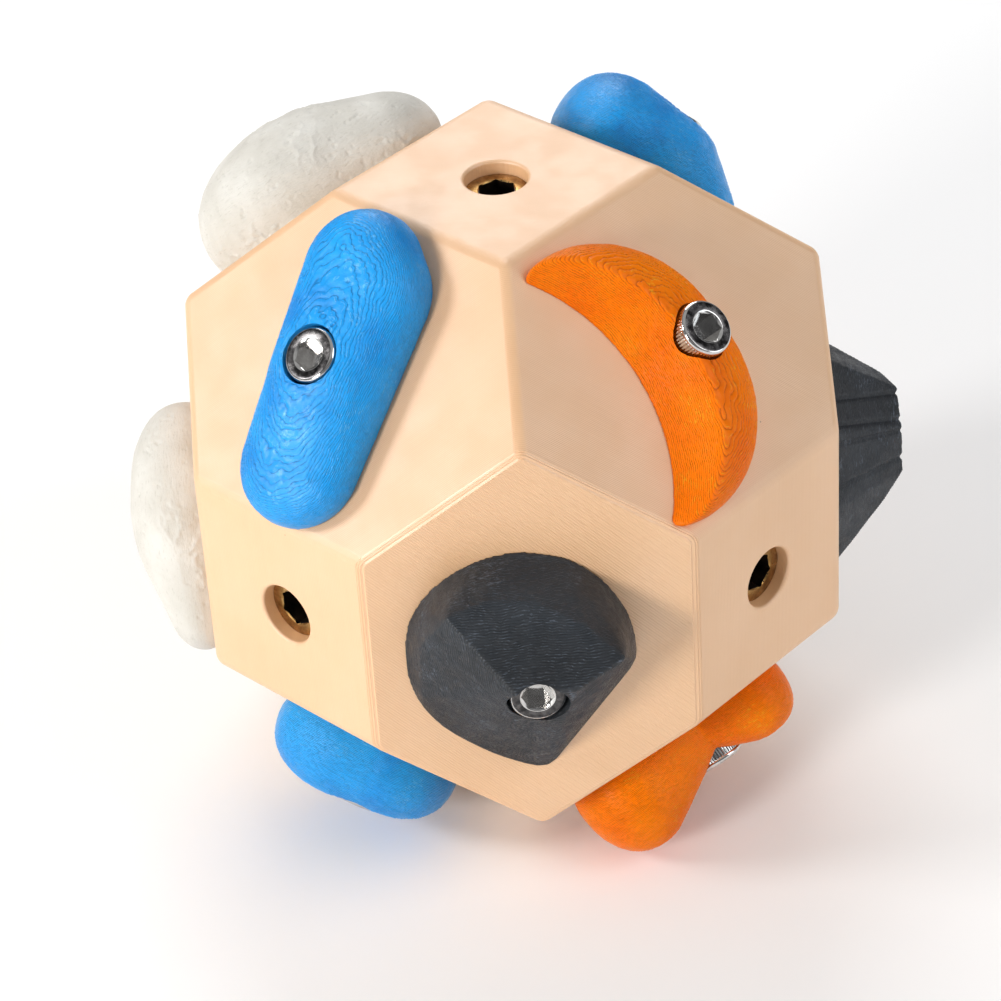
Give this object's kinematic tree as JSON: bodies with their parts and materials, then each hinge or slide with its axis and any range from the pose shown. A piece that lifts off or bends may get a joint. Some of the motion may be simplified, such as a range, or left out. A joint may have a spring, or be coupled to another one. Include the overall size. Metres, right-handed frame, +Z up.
{
  "type": "climbing hold ball",
  "caption": "Hand-size eighteen-faced printed ball with threaded inserts and small climbing holds, each bolted on by a socket-head screw.",
  "frame": {"origin": "centre of the bottom square face, on which the ball rests", "axes": "+Z up; +X and +Y out of the two other square faces in view; the camera looks from between +X, +Y and +Z"},
  "size_m": [0.1239, 0.1254, 0.1241],
  "materials": {
    "ball_print": "matte peach print with fine layer lines",
    "blue_print": "azure blue print with contour-like layer lines",
    "orange_print": "orange print, slightly glossy",
    "grey_print": "anthracite print with wavy layer lines",
    "white_print": "off-white stone-like print",
    "steel": "bright plated steel, knurled head",
    "brass": "dull brass-coloured plating"
  },
  "bodies": {
    "ball": {"ball_body": "ball_print", "open_insert_top": "brass", "open_insert_bottom": "brass", "open_insert_left": "brass", "open_insert_right": "brass", "open_insert_rear_right": "brass", "open_insert_rear_left": "brass", "bean_insert": "brass", "crescent_insert": "brass", "ridge_insert": "brass", "wedge_insert": "brass", "dome_insert": "brass", "pebble_insert": "brass", "mound_insert": "brass", "saddle_insert": "brass", "block_insert": "brass", "bar_insert": "brass", "prism_insert": "brass", "button_insert": "brass"},
    "bean_screw": {"bean_screw": "steel"},
    "bean_hold": {"bean_hold": "blue_print"},
    "crescent_screw": {"crescent_screw": "steel"},
    "crescent_hold": {"crescent_hold": "orange_print"},
    "ridge_screw": {"ridge_screw": "steel"},
    "ridge_hold": {"ridge_hold": "grey_print"},
    "wedge_screw": {"wedge_screw": "steel"},
    "wedge_hold": {"wedge_hold": "blue_print"},
    "dome_screw": {"dome_screw": "steel"},
    "dome_hold": {"dome_hold": "white_print"},
    "pebble_screw": {"pebble_screw": "steel"},
    "pebble_hold": {"pebble_hold": "white_print"},
    "mound_screw": {"mound_screw": "steel"},
    "mound_hold": {"mound_hold": "blue_print"},
    "saddle_screw": {"saddle_screw": "steel"},
    "saddle_hold": {"saddle_hold": "orange_print"},
    "block_screw": {"block_screw": "steel"},
    "block_hold": {"block_hold": "grey_print"},
    "bar_screw": {"bar_screw": "steel"},
    "bar_hold": {"bar_hold": "orange_print"},
    "prism_screw": {"prism_screw": "steel"},
    "prism_hold": {"prism_hold": "grey_print"},
    "button_screw": {"button_screw": "steel"},
    "button_hold": {"button_hold": "white_print"}
  },
  "joints": [
    {"name": "bean_unscrew", "type": "slide", "parent": "ball", "child": "bean_screw", "axis": [0.7071, 0, 0.7071], "range_m": [0, 0.022]},
    {"name": "bean_turn", "type": "hinge", "parent": "bean_screw", "child": "bean_hold", "pos_m": [0.04009, 0, 0.10009], "axis": [0.7071, 0, 0.7071], "continuous": true},
    {"name": "crescent_unscrew", "type": "slide", "parent": "ball", "child": "crescent_screw", "axis": [0, 0.7071, 0.7071], "range_m": [0, 0.022]},
    {"name": "crescent_turn", "type": "hinge", "parent": "crescent_screw", "child": "crescent_hold", "pos_m": [0, 0.04009, 0.10009], "axis": [0, 0.7071, 0.7071], "continuous": true},
    {"name": "ridge_unscrew", "type": "slide", "parent": "ball", "child": "ridge_screw", "axis": [0.7071, 0.7071, 0], "range_m": [0, 0.022]},
    {"name": "ridge_turn", "type": "hinge", "parent": "ridge_screw", "child": "ridge_hold", "pos_m": [0.04009, 0.04009, 0.06], "axis": [0.7071, 0.7071, 0], "continuous": true},
    {"name": "wedge_unscrew", "type": "slide", "parent": "ball", "child": "wedge_screw", "axis": [-0.7071, 0, 0.7071], "range_m": [0, 0.022]},
    {"name": "wedge_turn", "type": "hinge", "parent": "wedge_screw", "child": "wedge_hold", "pos_m": [-0.04009, 0, 0.10009], "axis": [-0.7071, 0, 0.7071], "continuous": true},
    {"name": "dome_unscrew", "type": "slide", "parent": "ball", "child": "dome_screw", "axis": [0, -0.7071, 0.7071], "range_m": [0, 0.022]},
    {"name": "dome_turn", "type": "hinge", "parent": "dome_screw", "child": "dome_hold", "pos_m": [0, -0.04009, 0.10009], "axis": [0, -0.7071, 0.7071], "continuous": true},
    {"name": "pebble_unscrew", "type": "slide", "parent": "ball", "child": "pebble_screw", "axis": [0.7071, -0.7071, 0], "range_m": [0, 0.022]},
    {"name": "pebble_turn", "type": "hinge", "parent": "pebble_screw", "child": "pebble_hold", "pos_m": [0.04009, -0.04009, 0.06], "axis": [0.7071, -0.7071, 0], "continuous": true},
    {"name": "mound_unscrew", "type": "slide", "parent": "ball", "child": "mound_screw", "axis": [0.7071, 0, -0.7071], "range_m": [0, 0.022]},
    {"name": "mound_turn", "type": "hinge", "parent": "mound_screw", "child": "mound_hold", "pos_m": [0.04009, 0, 0.01991], "axis": [0.7071, 0, -0.7071], "continuous": true},
    {"name": "saddle_unscrew", "type": "slide", "parent": "ball", "child": "saddle_screw", "axis": [0, 0.7071, -0.7071], "range_m": [0, 0.022]},
    {"name": "saddle_turn", "type": "hinge", "parent": "saddle_screw", "child": "saddle_hold", "pos_m": [0, 0.04009, 0.01991], "axis": [0, 0.7071, -0.7071], "continuous": true},
    {"name": "block_unscrew", "type": "slide", "parent": "ball", "child": "block_screw", "axis": [-0.7071, 0.7071, 0], "range_m": [0, 0.022]},
    {"name": "block_turn", "type": "hinge", "parent": "block_screw", "child": "block_hold", "pos_m": [-0.04009, 0.04009, 0.06], "axis": [-0.7071, 0.7071, 0], "continuous": true},
    {"name": "bar_unscrew", "type": "slide", "parent": "ball", "child": "bar_screw", "axis": [-0.7071, -0.7071, 0], "range_m": [0, 0.022]},
    {"name": "bar_turn", "type": "hinge", "parent": "bar_screw", "child": "bar_hold", "pos_m": [-0.04009, -0.04009, 0.06], "axis": [-0.7071, -0.7071, 0], "continuous": true},
    {"name": "prism_unscrew", "type": "slide", "parent": "ball", "child": "prism_screw", "axis": [-0.7071, 0, -0.7071], "range_m": [0, 0.022]},
    {"name": "prism_turn", "type": "hinge", "parent": "prism_screw", "child": "prism_hold", "pos_m": [-0.04009, 0, 0.01991], "axis": [-0.7071, 0, -0.7071], "continuous": true},
    {"name": "button_unscrew", "type": "slide", "parent": "ball", "child": "button_screw", "axis": [0, -0.7071, -0.7071], "range_m": [0, 0.022]},
    {"name": "button_turn", "type": "hinge", "parent": "button_screw", "child": "button_hold", "pos_m": [0, -0.04009, 0.01991], "axis": [0, -0.7071, -0.7071], "continuous": true}
  ]
}
